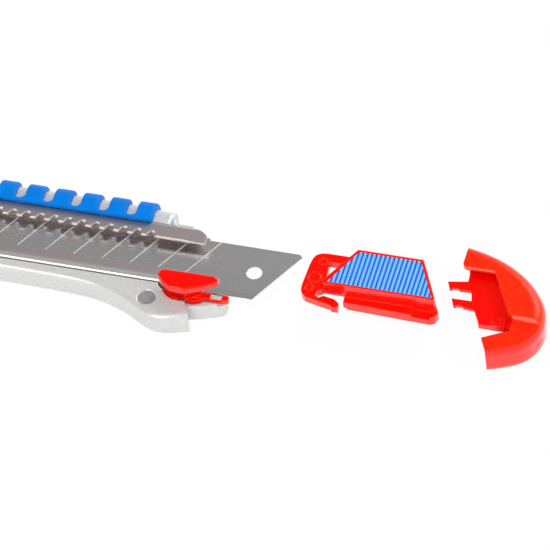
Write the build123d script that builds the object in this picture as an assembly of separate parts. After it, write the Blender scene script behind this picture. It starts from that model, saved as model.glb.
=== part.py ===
from build123d import *
import math
import os

# Driving dimensions in millimetres. X runs to the rear, Y across the blade, Z up from the table.
BLADE_W = 18.0
BLADE_T = 0.5
BLADE_TOP = 6.2
SNAP_PITCH = 8.2
SNAP_LINES = 8
SNAP_ANGLE = 60.0
LAST_LINE_X = 52.7
BLADE_END_X = 76.8
HOLE_X = 75.0
HOLE_Y = 0.15
HOLE_D = 4.4

STEEL = 0.85
BLADE_SIDE_GAP = 0.4
UNDER_GAP = 0.1
TOP_GAP = 0.1
CHANNEL_FRONT = -83.0
CHANNEL_REAR = 70.0
SLOT_LOW = -5.6
TOOTH_TIP = 5.1
TOOTH_ROOT = 6.7
TOOTH_PITCH = 4.05
TOOTH_COUNT = 26
TOOTH_END_X = 46.15
SHEAR_BREAK = 0.2

HANDLE_TOP = 9.0
SIDE_GAP = 0.2
TAIL_Z = 1.9
LEDGE_W = 1.35
PIVOT_X = 48.7
PIVOT_OFF = 5.85
PIN_D = 3.0
PIN_HEAD_D = 5.0
PIN_HEAD_T = 0.45
POCKET_Z = 6.7
TONGUE_TOP = 7.7
LEVER_GAP = 0.1
EYE_T = 1.3
EYE_D = 6.2
PAD_CLEAR = 2.9
PAD_T = 2.2
RIVET_FRONT_X = -38.0
RIVET_REAR_X = 18.0
RIVET_D = 3.3
RIVET_HEAD_D = 6.2

GRIP_FRONT = -48.0
GRIP_REAR = 42.9
GRIP_RISE = 2.1
GRIP_ROUND = 5.5
NOTCH_W = 3.05
NOTCH_PITCH = 8.13
NOTCH_COUNT = 11
NOTCH_LAST_X = 36.4

PLATE_GAP = 0.15
PLATE_T = 2.25
BLOCK_TOP = 13.2
STUD_X = 92.6
STUD_D = 3.0
STUD_SLACK = 0.15
RIB_PITCH = 1.27
RIB_COUNT = 20

CAP_DRAW_X = 83.5
CAP_DRAW_Y = 2.4
CAP_WALL = 1.5
CAP_TOP = 11.0
SEAM_GAP = 0.45
LIP_GAP = 0.3
HOOD_BREAK = 0.8


def prism(points, z0, z1):
    """Straight-sided prism over a plan polygon."""
    face = make_face(Polyline(*points, close=True))
    return Pos(0, 0, z0) * extrude(face, amount=z1 - z0)


def slab(x0, x1, y0, y1, z0, z1):
    """Box given by its limits."""
    return Pos((x0 + x1) / 2, (y0 + y1) / 2, (z0 + z1) / 2) * Box(x1 - x0, y1 - y0, z1 - z0)


def rod(x, y, z0, z1, d):
    """Upright cylinder."""
    return Pos(x, y, (z0 + z1) / 2) * Cylinder(d / 2, z1 - z0)


def near(shape, z, test):
    """Edges lying in one level whose middle passes the test."""
    found = []
    for e in shape.edges():
        box = e.bounding_box()
        if abs(box.min.Z - z) < 1e-4 and abs(box.max.Z - z) < 1e-4:
            if test(e.position_at(0.5)):
                found.append(e)
    return found


def upright(shape, test):
    """Edges that stand straight up and pass the test."""
    found = []
    for e in shape.edges().filter_by(Axis.Z):
        if test(e.position_at(0.5)):
            found.append(e)
    return found


RUN = BLADE_W / math.tan(math.radians(SNAP_ANGLE))
HALF = BLADE_W / 2
CHANNEL_IN = HALF + BLADE_SIDE_GAP
CHANNEL_OUT = CHANNEL_IN + STEEL
POCKET_HALF = CHANNEL_OUT + SIDE_GAP
CHANNEL_FLOOR = BLADE_TOP - BLADE_T - UNDER_GAP
PLATE_Z0 = BLADE_TOP + PLATE_GAP
PLATE_Z1 = PLATE_Z0 + PLATE_T
CHANNEL_TOP = PLATE_Z1 + TOP_GAP + STEEL
BLOCK_Z0 = CHANNEL_TOP + 0.3
LIP_Z = CHANNEL_TOP + LIP_GAP
EYE_Z0 = POCKET_Z + LEVER_GAP
EYE_TOP = EYE_Z0 + EYE_T
PAD_Z0 = HANDLE_TOP + PAD_CLEAR

# Plan points beside the channel are measured from its two outer sides.
HI = CHANNEL_OUT
LO = -CHANNEL_OUT
PIVOT_Y = LO - PIVOT_OFF


# Blade: a slanted strip with score lines, a ground edge and one hole near its rear end.
tip_x = LAST_LINE_X - SNAP_LINES * SNAP_PITCH
strip = [
    (tip_x, -HALF),
    (BLADE_END_X, -HALF),
    (BLADE_END_X + RUN * 0.955, HALF - 0.8),
    (BLADE_END_X + RUN * 0.86, HALF),
    (tip_x + RUN, HALF),
]
blade = prism(strip, BLADE_TOP - BLADE_T, BLADE_TOP)
blade -= rod(HOLE_X, HOLE_Y, BLADE_TOP - 2, BLADE_TOP + 2, HOLE_D)
for i in range(SNAP_LINES):
    x = LAST_LINE_X - i * SNAP_PITCH
    line = [(x - 0.13, -HALF), (x + 0.13, -HALF), (x + RUN + 0.13, HALF), (x + RUN - 0.13, HALF)]
    blade -= prism(line, BLADE_TOP - 0.1, BLADE_TOP + 0.5)
for side in (1, -1):
    mid = BLADE_TOP - BLADE_T / 2
    wedge = Polyline(
        (0, -HALF + 1.8, mid + side * BLADE_T / 2),
        (0, -HALF - 0.2, mid + side * 0.02),
        (0, -HALF - 0.2, mid + side * (BLADE_T / 2 + 0.1)),
        close=True,
    )
    blade -= Pos(-60, 0, 0) * extrude(make_face(wedge), amount=180, dir=(1, 0, 0))


# Channel: folded steel with a straight lower flange and a toothed upper flange.
section = Rectangle(2 * CHANNEL_OUT, CHANNEL_TOP - CHANNEL_FLOOR + STEEL)
section = fillet(section.vertices(), 1.15)
inner = Rectangle(2 * CHANNEL_IN, CHANNEL_TOP - CHANNEL_FLOOR - STEEL)
inner = fillet(inner.vertices(), 0.3)
tube_z = (CHANNEL_TOP + CHANNEL_FLOOR - STEEL) / 2
turn = Plane(origin=(CHANNEL_FRONT, 0, tube_z), x_dir=(0, 1, 0), z_dir=(1, 0, 0))
channel = extrude(turn * section, amount=CHANNEL_REAR - CHANNEL_FRONT)
channel -= extrude(turn * inner, amount=CHANNEL_REAR - CHANNEL_FRONT)
channel -= slab(-90, 80, SLOT_LOW, TOOTH_TIP, CHANNEL_FLOOR + 1, 12)
bite = [
    (0.4, TOOTH_TIP - 0.4),
    (0.6, TOOTH_TIP + 0.15),
    (1.0, TOOTH_ROOT - 0.75),
    (1.25, TOOTH_ROOT - 0.3),
    (1.65, TOOTH_ROOT),
    (2.55, TOOTH_ROOT),
    (2.9, TOOTH_ROOT - 0.3),
    (2.9, TOOTH_TIP - 0.4),
]
b2 = 2 * SHEAR_BREAK
bite_top = [
    (0.4 - b2, TOOTH_TIP - 0.4),
    (0.6 - b2, TOOTH_TIP + 0.15 + 0.5 * b2),
    (1.0 - 0.9 * b2, TOOTH_ROOT - 0.75 + 0.5 * b2),
    (1.25 - 0.8 * b2, TOOTH_ROOT - 0.3 + 0.7 * b2),
    (1.65 - 0.4 * b2, TOOTH_ROOT + b2),
    (2.55 + 0.4 * b2, TOOTH_ROOT + b2),
    (2.9 + b2, TOOTH_ROOT - 0.3 + 0.4 * b2),
    (2.9 + b2, TOOTH_TIP - 0.4),
]
for i in range(TOOTH_COUNT):
    x = TOOTH_END_X - (i + 1) * TOOTH_PITCH
    channel -= prism([(x + px, py) for px, py in bite], CHANNEL_FLOOR + 1, 12)
    low_ring = Polyline(*[(x + px, py, CHANNEL_TOP - SHEAR_BREAK) for px, py in bite], close=True)
    top_ring = Polyline(*[(x + px, py, CHANNEL_TOP + SHEAR_BREAK) for px, py in bite_top], close=True)
    channel -= loft([make_face(low_ring), make_face(top_ring)], ruled=True)
tip_break = make_face(Polyline(
    (-90, TOOTH_TIP, CHANNEL_TOP - SHEAR_BREAK),
    (-90, TOOTH_TIP + b2, CHANNEL_TOP + SHEAR_BREAK),
    (-90, TOOTH_TIP - 0.2, CHANNEL_TOP + SHEAR_BREAK),
    (-90, TOOTH_TIP - 0.2, CHANNEL_TOP - SHEAR_BREAK),
    close=True,
))
channel -= extrude(tip_break, amount=144.6, dir=(1, 0, 0))
corner = [
    (59.6, TOOTH_TIP), (59.45, HI - 2.4), (58.0, HI - 1.25), (57.0, HI - 0.85), (57.0, HI + 3.75),
    (80, HI + 3.75), (80, 4), (59.6, 4),
]
channel -= prism(corner, CHANNEL_FLOOR + 0.05, 12)
tail_cut = [(59.5, HI + 3.75), (59.5, HI - 1.25), (71, LO - 0.15), (80, LO - 0.15), (80, HI + 3.75)]
channel -= prism(tail_cut, 0, 12)
channel -= slab(56, 80, LO - 1.75, SLOT_LOW + 1, CHANNEL_FLOOR + 0.4, 12)
nose_cut = [(-90, LO - 3.75), (-83, LO - 0.15), (-72, HI + 0.15), (-72, HI + 3.75), (-90, HI + 3.75)]
channel -= prism(nose_cut, 0, 12)
rivet_x = (RIVET_FRONT_X, RIVET_REAR_X)
for x in rivet_x:
    channel -= rod(x, 0, 0, 8, RIVET_D)


# Handle casting: rounded plan outline, channel trough, latch pocket, rear tongue and ledge.
low_side = [
    (-72, LO - 6.75), (-64, LO - 7.05), (-55, LO - 6.75), (-46, LO - 5.35), (-36, LO - 3.95),
    (-12, LO - 3.15), (10, LO - 3.15), (22, LO - 3.45), (29, LO - 3.85), (34.5, LO - 4.75),
    (40, LO - 6.55), (44.5, LO - 8.65), (49, LO - 11.15), (52.5, LO - 12.15), (56, LO - 11.85),
    (61.2, LO - 10.35), (66, LO - 8.65),
]
high_side = [
    (66, HI + 4.55), (54, HI + 5.65), (46, HI + 6.25), (38, HI + 6.85), (20, HI + 7.15),
    (-40, HI + 7.15), (-60, HI + 6.35), (-72, HI + 5.35),
]
outline = make_face([
    Spline(*low_side),
    Line(low_side[-1], high_side[0]),
    Spline(*high_side),
    Line(high_side[-1], low_side[0]),
])
casting = extrude(outline, amount=HANDLE_TOP)
casting = fillet(near(casting, 0, lambda p: abs(p.X) < 60), 3.4)
casting = fillet(near(casting, HANDLE_TOP, lambda p: p.Y < 0 and abs(p.X) < 60), 1.7)
casting = fillet(near(casting, HANDLE_TOP, lambda p: p.Y > 0 and abs(p.X) < 60), 3.8)
casting -= prism([(-80, -30), (-59, -30), (-63, LO + 0.25), (-57, 30), (-80, 30)], -2, 20)
spine_core = casting
casting -= slab(-90, 90, -POCKET_HALF, POCKET_HALF, CHANNEL_FLOOR - STEEL, 20)
seam = [
    (48.3, 30), (48.3, HI + 3.35), (49.8, HI + 0.2), (57.3, LO - 0.2), (59.1, LO - 4.55),
    (63.0, LO - 12.65), (66, -31), (90, -31), (90, 30),
]
casting -= prism(seam, -2, 20)
slope = Polyline(
    (46.9, 0, HANDLE_TOP + 0.2),
    (48.6, 0, HANDLE_TOP + 0.2),
    (48.6, 0, HANDLE_TOP - 1.5),
    (48.1, 0, HANDLE_TOP - 0.6),
    (47.5, 0, HANDLE_TOP - 0.15),
    close=True,
)
casting -= Pos(0, HI + 0.2, 0) * extrude(make_face(slope), amount=12, dir=(0, 1, 0))
tail = [(40, POCKET_HALF), (54, POCKET_HALF), (58, 7.5), (64, -2), (65.5, -POCKET_HALF), (40, -POCKET_HALF)]
casting += prism(tail, TAIL_Z, CHANNEL_FLOOR - STEEL)
casting += slab(44, 54.6, POCKET_HALF, POCKET_HALF + LEDGE_W, TAIL_Z, 7.8)
recess = [
    (50.3, LO - 0.2), (50.6, LO - 1.0), (52.1, LO - 2.6), (54.0, LO - 4.4), (55.7, LO - 5.2),
    (57.2, LO - 5.35), (59.6, LO - 5.4), (63, LO - 9.75), (80, LO - 9.75), (80, LO - 0.2),
]
casting -= prism(recess, POCKET_Z, 20)
tongue_plan = [
    (52, LO - 0.2), (52, LO - 5.2), (58.4, LO - 6.6), (60, LO - 6.5), (64, LO - 5.5), (67.8, LO - 4.05),
    (69.7, LO - 3.25), (70.2, LO - 2.6), (70.2, LO - 0.2),
]
tongue = prism(tongue_plan, TAIL_Z, TONGUE_TOP)
tongue = fillet(near(tongue, TAIL_Z, lambda p: p.Y < LO - 0.75 and p.X > 59), 0.9)
tongue = fillet(near(tongue, TONGUE_TOP, lambda p: p.Y < LO - 0.75 and p.X > 59), 0.5)
swing_room = [
    (40, LO + 3), (40, LO - 5.2), (57.2, LO - 5.2), (59.0, LO - 4.95), (61.6, LO - 5.1),
    (63.9, LO - 4.25), (64.8, LO - 3.6), (68.2, LO - 3.6), (68.2, LO - 8), (76, LO - 8), (76, LO + 3),
]
casting += tongue - prism(swing_room, POCKET_Z, 20)
eye_slot = rod(PIVOT_X, PIVOT_Y, POCKET_Z, EYE_TOP + LEVER_GAP, EYE_D + 1.8)
way = [(48.5, LO - 1.85), (48.5, LO - 9.75), (58, LO - 6.15), (58, LO - 1.75)]
eye_slot += prism(way, POCKET_Z, EYE_TOP + LEVER_GAP)
casting -= eye_slot
casting -= rod(PIVOT_X, PIVOT_Y, 1.5, 20, PIN_D)
casting -= rod(PIVOT_X, PIVOT_Y, EYE_TOP, 20, PIN_HEAD_D)
rim_r = PIN_HEAD_D / 2 + 0.1
hole_edge = near(casting, HANDLE_TOP, lambda p: math.hypot(p.X - PIVOT_X, p.Y - PIVOT_Y) < rim_r)
casting = chamfer(hole_edge, 0.25)
for x in rivet_x:
    casting -= rod(x, 0, -1, 8, RIVET_D)
    casting -= rod(x, 0, -1, 1.3, RIVET_HEAD_D)

rivets = []
for x in rivet_x:
    rivets.append(rod(x, 0, 0.3, CHANNEL_FLOOR - 0.05, RIVET_D) + rod(x, 0, 0.3, 1.3, RIVET_HEAD_D))

latch_pin = rod(PIVOT_X, PIVOT_Y, 1.5, EYE_TOP + 0.1, PIN_D)
latch_pin += rod(PIVOT_X, PIVOT_Y, EYE_TOP, EYE_TOP + PIN_HEAD_T, PIN_HEAD_D)


# Grip inlay: a cushion over the spine with open rounded notches.
GRIP_Z0 = 1.3
GRIP_TOP = HANDLE_TOP + GRIP_RISE
grip = slab(GRIP_FRONT, GRIP_REAR, HI - 1.05, HI + 7.9, GRIP_Z0, GRIP_TOP)
grip = fillet(near(grip, GRIP_TOP, lambda p: p.Y > HI + 7), GRIP_ROUND)
grip = fillet(near(grip, GRIP_Z0, lambda p: p.Y > HI + 7), 3.0)
grip = fillet(near(grip, GRIP_TOP, lambda p: p.Y < HI), 0.4)
root = HI + 1.6
half_notch = NOTCH_W / 2
for i in range(NOTCH_COUNT):
    x = NOTCH_LAST_X - i * NOTCH_PITCH
    sides = [(x - half_notch, root), (x - 1.8, HI + 15), (x + 0.7, HI + 15), (x + half_notch, root)]
    cut = prism(sides, 0, 14)
    cut += rod(x, root, 0, 14, NOTCH_W)
    grip -= cut
rear_sides = []
for e in grip.edges():
    box = e.bounding_box()
    turn_at = (box.max.X - NOTCH_LAST_X + half_notch) / NOTCH_PITCH
    by_notch = abs(turn_at - round(turn_at)) < 0.05
    if box.size.Y > 3 and box.size.Z > 3 and box.max.Z > GRIP_TOP - 0.1 and box.size.X < 1:
        if by_notch or abs(box.max.X - GRIP_REAR) < 0.01:
            rear_sides.append(e)
grip = fillet(rear_sides, 0.65)
grip -= spine_core
grip -= slab(-90, 90, -POCKET_HALF, POCKET_HALF, 0, CHANNEL_TOP + 0.1)
lip_under = Polyline(
    (GRIP_FRONT - 2, HI - 1.15, CHANNEL_TOP),
    (GRIP_FRONT - 2, HI - 1.15, CHANNEL_TOP + 0.45),
    (GRIP_FRONT - 2, HI - 0.7, CHANNEL_TOP),
    close=True,
)
grip -= extrude(make_face(lip_under), amount=GRIP_REAR - GRIP_FRONT + 4, dir=(1, 0, 0))


# Latch lever: eye on the pin, flat arm with a notch and tip, stem and half-moon pad.
arm = [
    (48.0, LO - 2.95), (51.5, LO - 2.15), (54, LO - 0.65), (70.6, LO - 0.65), (71.1, LO - 1.15),
    (71.1, LO - 1.95), (70.5, LO - 2.5), (64.2, LO - 2.65), (63.3, LO - 3.5), (61.3, LO - 4.25),
    (59.2, LO - 4.15), (58.7, LO - 3.6), (57.9, LO - 3.35), (57.2, LO - 3.6), (56.8, LO - 4.35),
    (53.5, LO - 5.35), (49, LO - 8.65),
]
lever = prism(arm, EYE_Z0, EYE_TOP) + rod(PIVOT_X, PIVOT_Y, EYE_Z0, EYE_TOP, EYE_D)
raised = [
    (54, LO - 0.65), (70.6, LO - 0.65), (71.1, LO - 1.15), (71.1, LO - 1.95), (70.5, LO - 2.5),
    (64.2, LO - 2.65), (56, LO - 3.2),
]
lever += prism(raised, EYE_TOP - 0.1, EYE_TOP + 0.2)
lever -= slab(66.0, 69.1, LO - 1.75, LO + 5, 6, 12)
lever -= slab(66.0, 69.1, LO - 10, LO - 1.65, EYE_Z0 + 0.5, 12)
lever -= rod(PIVOT_X, PIVOT_Y, 0, 12, PIN_D + LEVER_GAP)
stem = [
    (52.5, LO - 0.65), (52.9, LO - 1.6), (54.2, LO - 2.9), (55.6, LO - 3.75), (57.0, LO - 3.9),
    (59.2, LO - 3.85), (60.4, LO - 3.2), (61.4, LO - 2.6), (63.0, LO - 1.7), (63.2, LO - 0.65),
]
lever += prism(stem, EYE_TOP - 0.1, PAD_Z0 + 0.3)
pad_points = [
    (51.0, LO - 1.2), (52.8, LO - 3.35), (55.4, LO - 4.95), (59.0, LO - 5.15), (62.3, LO - 4.0),
    (65.2, LO - 2.55), (68.3, LO - 0.4), (68.1, LO + 1.0), (66.3, LO + 1.45), (58.3, LO + 1.35),
    (52.0, LO + 1.2), (51.0, LO + 0.3),
]
pad_face = make_face(Polyline(*pad_points, close=True))
pad_face = fillet(pad_face.vertices(), 1.0)
pad = Pos(0, 0, PAD_Z0) * extrude(pad_face, amount=PAD_T)
pad = fillet(near(pad, PAD_Z0 + PAD_T, lambda p: True), 0.95)
lever += pad


# Slider carrier: thin plate with a window and spring arm, and a raised block with a pad seat.
band = [
    (89.7, -3.4), (90.0, 4.0), (90.3, 6.6), (91.0, 8.0), (92.3, HI - 1.45), (94.2, HI - 1.2),
    (122.0, HI - 1.2), (129.2, -5.4), (128.6, -7.1), (127.2, -7.85), (102.5, -7.0), (102.3, -3.3),
    (96.2, -3.3), (95.3, -3.9), (94.6, -4.4),
]
spring = [
    (89.7, -3.4), (90.0, -5.1), (90.6, -6.2), (91.6, -7.0), (95.7, -7.95), (99.4, -8.75),
    (99.6, LO + 1.05), (101.4, LO + 1.05), (101.5, -7.7), (99.9, -6.4), (96.6, -5.8), (95.3, -6.6),
    (94.3, -6.1), (94.6, -4.4),
]
carrier = prism(band, PLATE_Z0, PLATE_Z1) + prism(spring, PLATE_Z0, PLATE_Z1)
deep = [
    (103.4, -7.05), (127.2, -7.85), (128.6, -7.1), (129.2, -5.4), (122.0, HI - 1.2), (105.3, HI - 1.2),
]
carrier += prism(deep, CHANNEL_FLOOR + UNDER_GAP, PLATE_Z0 + 0.1)
carrier -= prism([(95.4, 6.2), (100.4, 6.2), (96.0, -1.6)], 0, 20)
dip = [(122.0, -4.9), (127.2, -4.9), (128.0, -5.4), (128.2, -6.2), (127.7, -7.1), (126.6, -9), (122.0, -9)]
carrier -= prism(dip, PLATE_Z1 - 0.9, 20)
neck = [(97.0, -3.3), (101.7, 5.0), (123.2, 5.0), (128.3, -4.9), (102.3, -4.9), (102.3, -3.3)]
carrier += prism(neck, PLATE_Z1 - 0.1, BLOCK_Z0 + 0.1)
skirt = [(96.0, -4.9), (101.7, 5.0), (123.2, 5.0), (128.3, -4.9)]
carrier += prism(skirt, PLATE_Z1 + 0.4, BLOCK_Z0 + 0.1)
block = prism([(95.7, -4.9), (103.2, 8.4), (121.9, 8.4), (128.5, -4.9)], BLOCK_Z0, BLOCK_TOP)
block = fillet(upright(block, lambda p: True), 0.6)
carrier += block
seat = [(97.6, -4.25), (103.7, 7.65), (121.3, 7.65), (127.3, -4.25)]
carrier -= prism(seat, BLOCK_TOP - 1.0, 20)
for x, y, d in ((92.6, 0.3, 3.8), (93.6, 6.2, 2.6), (92.0, -3.4, 2.4)):
    carrier -= rod(x, y, PLATE_Z1 - 0.15, 20, d) - rod(x, y, 0, 20, d - 0.5)
STUD_Z0 = PLATE_Z0 - 0.6
STUD_Z1 = PLATE_Z1 - 0.85
carrier -= rod(STUD_X, HOLE_Y, 0, STUD_Z1, STUD_D)
blade_stud = rod(STUD_X, HOLE_Y, STUD_Z0, STUD_Z1, STUD_D)
blade_stud += rod(STUD_X, HOLE_Y, STUD_Z0, PLATE_Z0 - 0.05, HOLE_D - STUD_SLACK)

slider_pad = prism(seat, BLOCK_TOP - 1.0, BLOCK_TOP - 0.35)
rib_span = prism(seat, BLOCK_TOP - 0.4, BLOCK_TOP + 0.25)
ribs = None
for i in range(RIB_COUNT + 5):
    x = 97.9 + i * RIB_PITCH
    rib = Pos(x, 1.7, BLOCK_TOP - 0.35) * (Rot(90, 0, 0) * Cylinder(0.44, 13))
    ribs = rib if ribs is None else ribs + rib
slider_pad += ribs & rib_span


# End cap: hollow shell that wraps the handle's tail, with plate, prongs, catch block and lug.
rim = [
    (44, HI + 6.5), (49, HI + 5.95), (54.0, HI + 4.8), (59.0, HI + 3.05), (63.4, HI + 0.75),
    (68.0, 7.6), (71.8, 3.4), (74.2, -0.6), (75.2, -4.6), (75.1, -8.2), (74.0, LO - 1.35),
    (71.6, LO - 4.6), (68.4, LO - 6.75), (65.4, LO - 8.1), (62.2, LO - 9.25), (57, LO - 10.75),
]
rim_face = make_face([Spline(*rim), Line(rim[-1], rim[0])])
cap = extrude(rim_face, amount=CAP_TOP)
cap = fillet(near(cap, 0, lambda p: p.X > 60), 3.0)
cap = fillet(near(cap, CAP_TOP, lambda p: p.X > 60), 3.6)
lobe_end = seam[0][0] + SEAM_GAP
cap_seam = [(x + SEAM_GAP, y) for x, y in seam[:5]] + [(66.1, LO - 17.75), (30, LO - 17.75), (30, 30)]
cap -= prism(cap_seam, -2, LIP_Z)
cap -= prism([(lobe_end, 30), (lobe_end, 7)] + cap_seam[3:], LIP_Z, 20)
cap -= prism([(48.5, HI + 7.75), (50.2, HI + 7.75), (48.5, HI + 5.05)], -2, 20)
cap -= prism([(48.5, 9.2), (48.5, 7), (51.2, 7), (49.3, 7.7)], LIP_Z, 20)
core = []
for (x0, y0), (x1, y1), (x2, y2) in zip(rim[:-2], rim[1:-1], rim[2:]):
    reach = math.hypot(x2 - x0, y2 - y0)
    core.append((x1 + CAP_WALL * (y2 - y0) / reach, y1 - CAP_WALL * (x2 - x0) / reach))
front = (40, core[-1][1])
back = (40, core[0][1])
core_face = make_face([Spline(*core), Line(core[-1], front), Line(front, back), Line(back, core[0])])
hollow = Pos(0, 0, CAP_WALL) * extrude(core_face, amount=6.4 - CAP_WALL)
lower = Pos(0, 0, 6.3) * extrude(core_face, amount=2.3)
lower &= slab(40, 72.4, LO - 30, LO + 1, 0, 20)
upper = Pos(0, 0, 6.3) * extrude(core_face, amount=LIP_Z - 6.3)
upper &= slab(40, 60.6, HI - 1.15, HI + 30, 0, 20)
cap -= hollow + lower + upper
tip_room = [
    (58, LO + 1), (71.7, LO + 1), (71.7, LO - 2.35), (71.0, LO - 4.25), (66, LO - 5.35),
    (58, LO - 5.35),
]
cap -= prism(tip_room, 6.3, 8.6)
open_top = [
    (40, 7.4), (58.1, 7.4), (64.9, -5.6), (66.8, -7.2), (73.2, -7.4), (80, LO + 1.25), (80, -40),
    (40, -40),
]
cap -= prism(open_top, 9.7, 20)
mouth = [
    (40, 7.4), (58.1, 7.4), (64.9, -5.6), (66.6, -7.2), (66.6, LO - 0.95), (64.6, LO - 1.75),
    (59.4, LO - 4.65), (40, LO - 4.65),
]
cap -= prism(mouth, 8.2, 20)
cap -= prism([(40, HI - 1.15), (58, HI - 1.15), (58, HI - 0.85), (40, HI - 0.85)], 6.3, LIP_Z)
under = [
    (40, HI - 1.15), (48, HI - 1.15), (50.6, HI - 1.55), (57.1, LO + 1), (64.6, LO - 1.75),
    (59.4, LO - 4.65), (40, LO - 4.65),
]
cap -= prism(under, 6.3, LIP_Z)
cap -= slab(40, 60.0, TOOTH_TIP - 0.2, HI - 1.05, 8.2, LIP_Z)
plate = [
    (50.7, HI - 1.65), (60, HI - 1.65), (70, 3), (70, LO + 1.75), (57.1, LO + 1.75), (55.4, -5.4),
    (53.5, -1.6), (52.9, 1.0), (51.0, 4.8),
]
floor_cut = [
    (45, 3), (58.5, 3), (65.3, -4), (66, LO - 1.95), (64.6, LO - 2.35), (59.2, LO - 5.35),
    (45, LO - 5.35),
]
cap -= prism(floor_cut, -2, 6.4)
cap += prism(plate, 6.5, 8.2)
prongs = [
    [
        (45.5, 3.8), (51.5, 4.9), (60, 4.9), (60, 1.5), (52.9, 1.75), (49.2, 1.6), (48.9, 1.95),
        (47.4, 1.95), (47.1, 1.45), (46.5, 1.45),
    ],
    [
        (47.9, -1.8), (60, -1.6), (60, -4.6), (55.4, -4.55), (51.8, -4.3), (51.4, -3.85),
        (49.9, -3.85), (49.6, -4.3), (49.0, -4.3),
    ],
]
for prong in prongs:
    cap += prism(prong, 7.2, 8.2)
cap += slab(60.4, 64.9, LO + 0.85, LO + 4.45, 6.5, 8.8) - slab(61.3, 62.9, LO + 1.65, LO + 3.45, 8.2, 20)
cap += slab(66.5, 68.6, LO - 1.55, LO + 0.65, 7.6, 9.6)
lobe_heel = [(60.75, LO - 4.55), (61.85, LO - 9.1), (50, LO - 9.1), (50, LO - 4.55)]
cap -= prism(lobe_heel, -2, 3.2)
cap -= Pos(74.55, LO + 0.35, 5.1) * (Rot(0, 0, 72) * Box(3.6, 1.2, 0.35))
for x, y, run, size in ((40, 7.4, 18.1, HOOD_BREAK / 2), (66.4, -7.3, 12, HOOD_BREAK)):
    wedge = Polyline(
        (x, y - 0.2, CAP_TOP - size - 0.2),
        (x, y + size + 0.2, CAP_TOP + 0.2),
        (x, y - 0.2, CAP_TOP + 0.2),
        close=True,
    )
    cap -= extrude(make_face(wedge), amount=run, dir=(1, 0, 0))
cap = Pos(CAP_DRAW_X, CAP_DRAW_Y, 0) * cap


# Names, then one STEP file per piece.
pieces = {
    "handle_body": casting,
    "grip_inlay": grip,
    "blade_channel": channel,
    "channel_rivet_front": rivets[0],
    "channel_rivet_rear": rivets[1],
    "latch_pin": latch_pin,
    "latch_lever": lever,
    "blade": blade,
    "slider_carrier": carrier,
    "slider_pad": slider_pad,
    "blade_stud": blade_stud,
    "end_cap": cap,
}
os.makedirs("parts", exist_ok=True)
for name, shape in pieces.items():
    shape.label = name
    export_step(shape, "parts/" + name + ".step")
    box = shape.bounding_box()
    solids = len(shape.solids())
    print(name, solids, "solids", round(shape.volume, 1), "mm3", [round(v, 1) for v in (*box.min, *box.max)])
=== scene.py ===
import math

import bpy
from mathutils import Matrix, Vector

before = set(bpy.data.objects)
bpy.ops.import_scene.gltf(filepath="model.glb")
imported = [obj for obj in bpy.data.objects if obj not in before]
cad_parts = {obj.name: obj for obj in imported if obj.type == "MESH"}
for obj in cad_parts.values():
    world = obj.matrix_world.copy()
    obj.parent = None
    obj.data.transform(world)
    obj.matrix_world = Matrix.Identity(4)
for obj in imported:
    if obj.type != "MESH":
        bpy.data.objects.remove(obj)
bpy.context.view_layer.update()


# Handle body: one zinc-aluminium die-casting that carries the blade channel, painted satin silver.
# It is cast in a two-part mould and tumbled, so its edges are soft and its skin is finely grained.
# A thin dark line of painted shade, for the shadow in the gap, runs along the edge of the pocket
# that the channel drops into.
def add(tree, kind, **settings):
    node = tree.nodes.new(kind)
    for key, value in settings.items():
        setattr(node, key, value)
    return node


def feed(tree, value, socket):
    """Link an output to a socket, or set the socket to a number, vector or colour."""
    if isinstance(value, bpy.types.NodeSocket):
        tree.links.new(value, socket)
    elif socket.type == "RGBA":
        socket.default_value = (*value, 1.0)
    else:
        socket.default_value = value


def work_out(tree, operation, *values, clamp=False):
    """One step of arithmetic on outputs or numbers."""
    node = add(tree, "ShaderNodeMath", operation=operation, use_clamp=clamp)
    for value, socket in zip(values, node.inputs):
        feed(tree, value, socket)
    return node.outputs[0]


def ramp(tree, value, low=0.0, high=1.0, start=0.0, end=1.0, ease="LINEAR"):
    """Number that goes from start to end while the value goes from low to high."""
    node = add(tree, "ShaderNodeMapRange", interpolation_type=ease)
    feed(tree, value, node.inputs["Value"])
    feed(tree, low, node.inputs["From Min"])
    feed(tree, high, node.inputs["From Max"])
    feed(tree, start, node.inputs["To Min"])
    feed(tree, end, node.inputs["To Max"])
    return node.outputs["Result"]


def mix_colours(tree, mask, first, second):
    """Colour that goes from the first to the second while the mask goes from nought to one."""
    node = add(tree, "ShaderNodeMix", data_type="RGBA")
    feed(tree, mask, node.inputs["Factor"])
    feed(tree, first, node.inputs["A"])
    feed(tree, second, node.inputs["B"])
    return node.outputs["Result"]


def axes(tree, source="Object"):
    """X, Y and Z of a point on the piece, or of the way its surface faces."""
    where = add(tree, "ShaderNodeTexCoord")
    split = add(tree, "ShaderNodeSeparateXYZ")
    feed(tree, where.outputs[source], split.inputs[0])
    return split.outputs


def shader_group(name, inputs, outputs):
    tree = bpy.data.node_groups.new(name, "ShaderNodeTree")
    for label, kind, value in inputs:
        socket = tree.interface.new_socket(label, in_out="INPUT", socket_type=kind)
        socket.default_value = value
    for label, kind in outputs:
        tree.interface.new_socket(label, in_out="OUTPUT", socket_type=kind)
    way_in = tree.nodes.new("NodeGroupInput")
    way_out = tree.nodes.new("NodeGroupOutput")
    return tree, way_in.outputs, way_out.inputs


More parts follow.
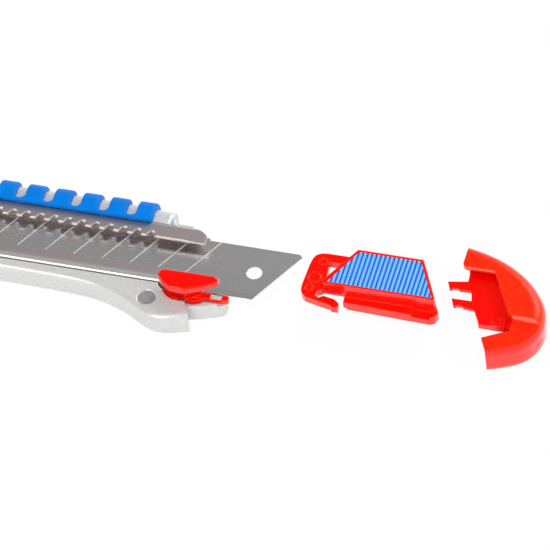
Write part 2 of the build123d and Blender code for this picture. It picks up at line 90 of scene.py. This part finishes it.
# Rounded edges and a mask of them, read from the surface itself.
soft_edge, given, put = shader_group(
    "soft_edge",
    [("Radius", "NodeSocketFloat", 0.0003), ("Reach", "NodeSocketFloat", 6.0)],
    [("Normal", "NodeSocketVector"), ("Mask", "NodeSocketFloat")],
)
rounded = add(soft_edge, "ShaderNodeBevel", samples=8)
flat = add(soft_edge, "ShaderNodeNewGeometry")
match = add(soft_edge, "ShaderNodeVectorMath", operation="DOT_PRODUCT")
feed(soft_edge, given["Radius"], rounded.inputs["Radius"])
feed(soft_edge, rounded.outputs[0], match.inputs[0])
feed(soft_edge, flat.outputs["Normal"], match.inputs[1])
turned = work_out(soft_edge, "SUBTRACT", 1.0, match.outputs["Value"], clamp=True)
strong = work_out(soft_edge, "MULTIPLY", turned, given["Reach"], clamp=True)
feed(soft_edge, rounded.outputs[0], put["Normal"])
feed(soft_edge, strong, put["Mask"])

# Fine grain and a broader drift, stretched along one axis where metal is rolled or ground.
grain, given, put = shader_group(
    "grain",
    [
        ("Scale", "NodeSocketFloat", 2500.0),
        ("Stretch", "NodeSocketVector", (1.0, 1.0, 1.0)),
        ("Broad", "NodeSocketFloat", 90.0),
    ],
    [("Height", "NodeSocketFloat"), ("Cloud", "NodeSocketFloat")],
)
where = add(grain, "ShaderNodeTexCoord")
stretched = add(grain, "ShaderNodeVectorMath", operation="MULTIPLY")
feed(grain, where.outputs["Object"], stretched.inputs[0])
feed(grain, given["Stretch"], stretched.inputs[1])
for size, detail, result in (("Scale", 3.0, "Height"), ("Broad", 2.0, "Cloud")):
    noise = add(grain, "ShaderNodeTexNoise")
    feed(grain, detail, noise.inputs["Detail"])
    feed(grain, stretched.outputs[0], noise.inputs["Vector"])
    feed(grain, given[size], noise.inputs["Scale"])
    feed(grain, noise.outputs["Fac"], put[result])


def surface(
    name, dark, light, edge, fineness, depth, radius,
    rough=None, swing=0.08, stretch=(1.0, 1.0, 1.0), wear_and_highlight=0.5, broad=90.0,
):
    """Finish whose colour drifts between two tones, takes a paler edge colour on rounded edges,
    partly as wear and partly as a painted highlight, and carries a grain.
    """
    mat = bpy.data.materials.new(name)
    mat.use_nodes = True
    tree = mat.node_tree
    body = tree.nodes["Principled BSDF"]
    edges = add(tree, "ShaderNodeGroup", node_tree=soft_edge)
    feed(tree, radius, edges.inputs["Radius"])
    skin = add(tree, "ShaderNodeGroup", node_tree=grain)
    feed(tree, fineness, skin.inputs["Scale"])
    feed(tree, stretch, skin.inputs["Stretch"])
    feed(tree, broad, skin.inputs["Broad"])
    tone = mix_colours(tree, skin.outputs["Cloud"], dark, light)
    # Rounded edges take the paler edge colour: partly wear, partly a painted highlight.
    worn_and_lit = work_out(tree, "MULTIPLY", edges.outputs["Mask"], wear_and_highlight)
    feed(tree, mix_colours(tree, worn_and_lit, tone, edge), body.inputs["Base Color"])
    if rough is not None:
        gloss = ramp(tree, skin.outputs["Height"], start=rough - swing / 2, end=rough + swing / 2)
        feed(tree, gloss, body.inputs["Roughness"])
    bump = add(tree, "ShaderNodeBump")
    feed(tree, 1.0, bump.inputs["Strength"])
    feed(tree, depth, bump.inputs["Distance"])
    feed(tree, edges.outputs["Normal"], bump.inputs["Normal"])
    feed(tree, skin.outputs["Height"], bump.inputs["Height"])
    feed(tree, bump.outputs["Normal"], body.inputs["Normal"])
    return mat, body


def so_far(body, label="Base Color"):
    """Output that already feeds this socket of the shader."""
    return body.inputs[label].links[0].from_socket


def dress(mat, *nodes):
    for node in nodes:
        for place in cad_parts[node].material_slots:
            place.material = mat


silver, body = surface(
    "satin_silver",
    dark=(0.54, 0.54, 0.535),
    light=(0.77, 0.77, 0.765),
    edge=(0.92, 0.92, 0.92),
    rough=0.33,
    fineness=2600.0,
    depth=0.000009,
    radius=0.0005,
    broad=1500.0,
)
body.inputs["Metallic"].default_value = 0.3
tree = silver.node_tree
# Painted shade: a thin dark line on the casting at the pocket's edge, where the gap beside the
# channel falls into shadow.
pocket_edge = -0.01045
half_line = 0.0001
line_bottom = 0.0082
gap_shade_brown = (0.16, 0.145, 0.135)
place = axes(tree)
on_line = work_out(tree, "COMPARE", place["Y"], pocket_edge, half_line)
on_top = work_out(tree, "GREATER_THAN", place["Z"], line_bottom)
gap_shade = work_out(tree, "MULTIPLY", on_line, on_top)
feed(tree, mix_colours(tree, gap_shade, so_far(body), gap_shade_brown), body.inputs["Base Color"])
dress(silver, "handle_body")


# Grip inlay: a blue rubber cushion moulded over the spine, open at its eleven notches.
# The surface is smooth and a little matt, and a painted highlight makes it paler on its rounded
# corners.
rubber, body = surface(
    "blue_rubber",
    dark=(0.0, 0.150, 0.56),
    light=(0.0, 0.205, 0.72),
    edge=(0.03, 0.28, 0.84),
    rough=0.38,
    fineness=3000.0,
    depth=0.000004,
    radius=0.0003,
    wear_and_highlight=0.8,
    broad=260.0,
)
body.inputs["Specular IOR Level"].default_value = 0.08
dress(rubber, "grip_inlay")


# Blade channel: rolled steel strip folded into a flat trough, its slot sheared with a row of teeth.
# The sheet is cold rolled, so its fine lines run along the knife. The lower fold and the flat sheet
# beside it are made paler, a painted highlight for the shine on the fold, and the sheared edges of
# the teeth are rougher.
rolled, body = surface(
    "rolled_steel",
    dark=(0.57, 0.505, 0.50),
    light=(0.64, 0.575, 0.57),
    edge=(0.95, 0.93, 0.91),
    fineness=900.0,
    stretch=(0.06, 1.6, 1.6),
    depth=0.000002,
    radius=0.00008,
    wear_and_highlight=0.6,
)
body.inputs["Metallic"].default_value = 1.0
tree = rolled.node_tree
tilted = 0.85
level = 0.98
fold_side = -0.006
teeth_side = -0.004
# Painted highlight: the folds get a paler grey than the sheet, and the flat sheet turns paler
# towards the lower fold, for the shine beside it.
sheen_begins = -0.0078
sheen_ends = -0.0096
fold_rough = 0.36
sheared_rough = 0.50
sheet_rough = 0.44
fold_shine_grey = (0.80, 0.77, 0.76)
sheared_grey = (0.62, 0.57, 0.56)
painted_sheen_grey = (0.98, 0.95, 0.94)
place = axes(tree)
faces = axes(tree, "Normal")
lying = ramp(tree, work_out(tree, "ABSOLUTE", faces["Z"]), tilted, level)
by_teeth = ramp(tree, place["Y"], fold_side, teeth_side)
edge_rough = ramp(tree, by_teeth, start=fold_rough, end=sheared_rough)
feed(tree, ramp(tree, lying, start=edge_rough, end=sheet_rough), body.inputs["Roughness"])
edge_grey = mix_colours(tree, by_teeth, fold_shine_grey, sheared_grey)
sheen_by_fold = ramp(tree, place["Y"], sheen_begins, sheen_ends, ease="SMOOTHSTEP")
sheet_grey = mix_colours(tree, sheen_by_fold, so_far(body), painted_sheen_grey)
feed(tree, mix_colours(tree, lying, edge_grey, sheet_grey), body.inputs["Base Color"])
dress(rolled, "blade_channel")


# Channel rivets and latch pin: turned steel, the pin's head set down in the casting.
# The heads are spun over, so they are rougher and duller than the sheet.
turned_steel, body = surface(
    "turned_steel",
    dark=(0.20, 0.20, 0.20),
    light=(0.58, 0.58, 0.58),
    edge=(0.66, 0.66, 0.66),
    rough=0.5,
    swing=0.2,
    fineness=1500.0,
    depth=0.00003,
    radius=0.0002,
    wear_and_highlight=0.4,
    broad=1300.0,
)
body.inputs["Metallic"].default_value = 0.6
dress(turned_steel, "channel_rivet_front", "channel_rivet_rear", "latch_pin")


# Blade: hardened carbon steel strip, scored across for snapping and ground to an edge.
# The faces are ground along the strip, plain grey between score lines that look chalky.
ground, body = surface(
    "ground_steel",
    dark=(0.84, 0.825, 0.825),
    light=(0.93, 0.915, 0.915),
    edge=(1.0, 1.0, 1.0),
    rough=0.27,
    swing=0.06,
    fineness=2600.0,
    stretch=(0.05, 1.4, 1.4),
    depth=0.0000002,
    radius=0.0001,
)
tree = ground.node_tree
blade_half = 0.009
score_lean = math.tan(math.radians(30.0))
score_pitch = 0.0082
score_half = 0.0002
rear_score = 0.0527
past_rear_score = 0.0060
chalk_grey = (0.66, 0.65, 0.65)
chalk_rough = 0.9
half_pitch = score_pitch / 2
place = axes(tree)
along = work_out(tree, "MULTIPLY_ADD", place["Y"], -score_lean, place["X"])
phase = work_out(tree, "SUBTRACT", along, rear_score + blade_half * score_lean - half_pitch)
off_centre = work_out(tree, "ABSOLUTE", work_out(tree, "WRAP", phase, half_pitch, -half_pitch))
on_line = work_out(tree, "COMPARE", off_centre, half_pitch, score_half)
in_front = work_out(tree, "LESS_THAN", phase, past_rear_score)
scored = work_out(tree, "MULTIPLY", on_line, in_front)
feed(tree, mix_colours(tree, scored, so_far(body), chalk_grey), body.inputs["Base Color"])
feed(tree, work_out(tree, "SUBTRACT", 1.0, scored), body.inputs["Metallic"])
dull = add(tree, "ShaderNodeMix", data_type="FLOAT")
feed(tree, scored, dull.inputs["Factor"])
feed(tree, so_far(body, "Roughness"), dull.inputs["A"])
feed(tree, chalk_rough, dull.inputs["B"])
feed(tree, dull.outputs["Result"], body.inputs["Roughness"])
dress(ground, "blade")


# Latch lever, slider and stud: injection-moulded red plastic with a barely visible ripple.
# Every corner is broken by the mould and takes a paler orange as a painted highlight, and its
# upright walls leave the sides glossier than the flats.
def moulded_red(name, dark, light, rough=None, broad=90.0):
    mat, body = surface(
        name,
        dark=dark,
        light=light,
        # Painted highlight: a paler orange on the rounded corners.
        edge=(1.0, 0.06, 0.012),
        rough=rough,
        fineness=700.0,
        depth=0.000006,
        radius=0.0005,
        wear_and_highlight=0.8,
        broad=broad,
    )
    body.inputs["Specular IOR Level"].default_value = 0.6
    body.inputs["Specular Tint"].default_value = (1.0, 0.3, 0.15, 1.0)
    body.inputs["Coat Roughness"].default_value = 0.18
    tree = mat.node_tree
    steep = 0.5
    level = 0.95
    faces = axes(tree, "Normal")
    upright = ramp(tree, work_out(tree, "ABSOLUTE", faces["Z"]), steep, level, start=1.0, end=0.0)
    feed(tree, upright, body.inputs["Coat Weight"])
    return mat


red = moulded_red(
    "red_plastic",
    dark=(0.84, 0.0005, 0.0),
    light=(0.90, 0.001, 0.0),
    rough=0.22,
)
dress(red, "latch_lever", "slider_carrier", "blade_stud")


# End cap: the same red plastic, with a hood that the mould leaves satin and a little warmer in tone,
# and a plate, two prongs and a catch block that stay polished inside it.
satin = moulded_red(
    "red_satin",
    dark=(0.82, 0.004, 0.0),
    light=(0.95, 0.030, 0.0),
    broad=500.0,
)
tree = satin.node_tree
body = tree.nodes["Principled BSDF"]
hood_begins = 0.0088
hood_whole = 0.0098
polished_rough = 0.20
satin_rough = 0.33
plate_red = (0.87, 0.0007, 0.0)
place = axes(tree)
on_hood = ramp(tree, place["Z"], hood_begins, hood_whole)
feed(tree, ramp(tree, on_hood, start=polished_rough, end=satin_rough), body.inputs["Roughness"])
feed(tree, mix_colours(tree, on_hood, plate_red, so_far(body)), body.inputs["Base Color"])
dress(satin, "end_cap")


# Slider pad: a ribbed blue rubber plate pressed into the slider's seat for the thumb.
# The ribs stand side by side across the knife; painted shade makes them deep blue between, and they
# are pale on their crowns.
ribbed, body = surface(
    "ribbed_rubber",
    dark=(0.16, 0.43, 0.92),
    light=(0.19, 0.47, 0.95),
    edge=(0.25, 0.52, 0.98),
    rough=0.42,
    fineness=2500.0,
    depth=0.000004,
    radius=0.0001,
    wear_and_highlight=0.4,
)
body.inputs["Specular IOR Level"].default_value = 0.25
tree = ribbed.node_tree
# Painted shade: the rib roots are made deep blue, and the crowns keep the paler tone.
rib_root = 0.0128
rib_crown = 0.01327
valley_shade_blue = (0.0, 0.14, 0.62)
place = axes(tree)
on_crown = ramp(tree, place["Z"], rib_root, rib_crown, ease="SMOOTHSTEP")
feed(tree, mix_colours(tree, on_crown, valley_shade_blue, so_far(body)), body.inputs["Base Color"])
dress(ribbed, "slider_pad")


# Floor: a plain white table, lit evenly, that keeps a faint shadow under the pieces.
# It shows white to the camera and in the metal, and bounces plain light elsewhere.
reach = 3
corners = [(-reach, -reach, 0), (reach, -reach, 0), (reach, reach, 0), (-reach, reach, 0)]
sheet = bpy.data.meshes.new("table")
sheet.from_pydata(corners, [], [(0, 1, 2, 3)])
table = bpy.data.objects.new("table", sheet)
bpy.context.scene.collection.objects.link(table)
white = bpy.data.materials.new("white_table")
white.use_nodes = True
tree = white.node_tree
plain = tree.nodes["Principled BSDF"]
plain.inputs["Base Color"].default_value = (0.92, 0.92, 0.92, 1.0)
plain.inputs["Roughness"].default_value = 0.9
plain.inputs["Specular IOR Level"].default_value = 0.0
white_share = 0.95
glow = add(tree, "ShaderNodeEmission")
ray = add(tree, "ShaderNodeLightPath")
seen = work_out(tree, "MAXIMUM", ray.outputs["Is Camera Ray"], ray.outputs["Is Glossy Ray"])
shown = work_out(tree, "MAXIMUM", seen, ray.outputs["Is Transmission Ray"])
blend = add(tree, "ShaderNodeMixShader")
feed(tree, work_out(tree, "MULTIPLY", shown, white_share), blend.inputs[0])
feed(tree, plain.outputs[0], blend.inputs[1])
feed(tree, glow.outputs[0], blend.inputs[2])
feed(tree, blend.outputs[0], tree.nodes["Material Output"].inputs["Surface"])
sheet.materials.append(white)


# Studio: a pale tent, white near the table and grey overhead, with a lit card low at the front left.
# Of four soft lamps the overhead one leaves no glint, and the front one draws the bright lines
# along folds and shoulders.
world = bpy.data.worlds.new("studio")
bpy.context.scene.world = world
world.use_nodes = True
tree = world.node_tree
tent = tree.nodes["Background"]
card_way = (-0.25, -0.93, 0.27)
card_rim = 0.82
card_whole = 0.94
card_white = (0.8, 0.8, 0.8)
aim = add(tree, "ShaderNodeTexCoord")
split = add(tree, "ShaderNodeSeparateXYZ")
feed(tree, aim.outputs["Generated"], split.inputs[0])
fade = add(tree, "ShaderNodeValToRGB")
low_band, high_band = fade.color_ramp.elements
low_band.position = 0.05
low_band.color = (0.95, 0.95, 0.95, 1.0)
high_band.position = 0.55
high_band.color = (0.26, 0.26, 0.26, 1.0)
feed(tree, split.outputs["Z"], fade.inputs[0])
towards = add(tree, "ShaderNodeVectorMath", operation="DOT_PRODUCT")
feed(tree, aim.outputs["Generated"], towards.inputs[0])
feed(tree, card_way, towards.inputs[1])
on_card = ramp(tree, towards.outputs["Value"], card_rim, card_whole, ease="SMOOTHSTEP")
feed(tree, mix_colours(tree, on_card, fade.outputs[0], card_white), tent.inputs["Color"])
tent.inputs["Strength"].default_value = 1.0


def soft_lamp(name, place, target, width, height, watts, glint=True):
    data = bpy.data.lights.new(name, "AREA")
    data.shape = "RECTANGLE"
    data.size = width
    data.size_y = height
    data.energy = watts
    lamp = bpy.data.objects.new(name, data)
    lamp.location = place
    lamp.visible_glossy = glint
    lamp.rotation_euler = (Vector(target) - Vector(place)).to_track_quat("-Z", "Y").to_euler()
    bpy.context.scene.collection.objects.link(lamp)


middle = (0.06, 0.0, 0.0)
rear_end = (0.12, 0.0, 0.0)
soft_lamp("top_soft", (0.25, -0.45, 1.5), middle, width=1.1, height=0.8, watts=11.0, glint=False)
soft_lamp("front_soft", (-0.3, -1.3, 1.1), middle, width=0.85, height=0.8, watts=9.0)
soft_lamp("right_soft", (1.4, -0.15, 0.75), middle, width=0.7, height=0.5, watts=3.5)
soft_lamp("rear_right_soft", (0.62, 1.35, 0.95), rear_end, width=0.9, height=0.85, watts=15.0)


# Camera: a long lens that looks down from the front right, rolled a little.
# It stands where the photograph was taken from.
elevation = math.radians(50.1526)
turn = math.radians(21.1634)
roll = math.radians(7.6138)
looked_at = Vector((0.075, -0.009, 0.0062))
moved_right = 0.0081033
moved_up = 0.0063930
distance = 1.6442018
away = Vector((
    math.sin(turn) * math.cos(elevation),
    -math.cos(turn) * math.cos(elevation),
    math.sin(elevation),
))
across = Vector((math.cos(turn), math.sin(turn), 0.0))
upward = away.cross(across)
right = across * math.cos(roll) - upward * math.sin(roll)
top = across * math.sin(roll) + upward * math.cos(roll)
stand = looked_at + right * moved_right + top * moved_up + away * distance
lens = bpy.data.cameras.new("camera")
lens.sensor_width = 36.0
lens.lens = 389.927
camera = bpy.data.objects.new("camera", lens)
camera.matrix_world = Matrix.Translation(stand) @ Matrix((
    (right.x, top.x, away.x),
    (right.y, top.y, away.y),
    (right.z, top.z, away.z),
)).to_4x4()
bpy.context.scene.collection.objects.link(camera)
bpy.context.scene.camera = camera
bpy.context.scene.view_settings.view_transform = "Standard"
